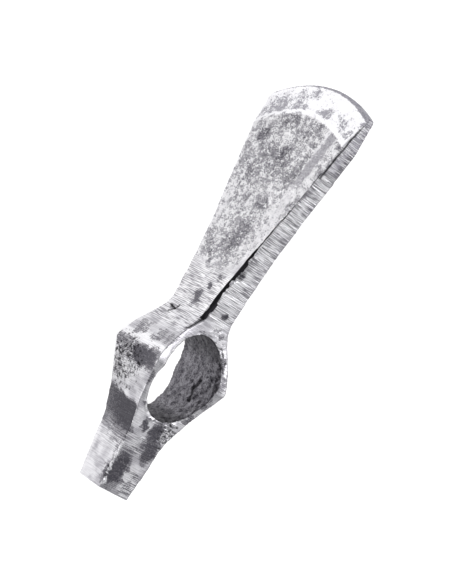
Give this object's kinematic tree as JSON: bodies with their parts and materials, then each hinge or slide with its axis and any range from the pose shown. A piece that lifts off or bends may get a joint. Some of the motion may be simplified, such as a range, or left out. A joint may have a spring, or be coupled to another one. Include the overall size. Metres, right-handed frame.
{
  "type": "hand-forged axe head",
  "caption": "Hand-forged steel axe head with an open oval haft eye, a small square hammer poll and a flared blade with a blunt curved edge.",
  "frame": {"origin": "centre of the oval haft eye, half way through the head", "axes": "+X along the head from the poll towards the curved edge, +Y out of the plated cheek, +Z along the axis of the eye, where the haft goes"},
  "size_m": [0.1833, 0.038, 0.068],
  "materials": {
    "body_steel": "hammered and wire brushed, with grey scale left in the low places",
    "plate_steel": "scale-pitted and wire brushed",
    "edge_steel": "ground bright, unsharpened"
  },
  "bodies": {
    "root": {"forged_body": "body_steel", "cheek_plate": "plate_steel", "steel_bit": "edge_steel"}
  },
  "joints": []
}
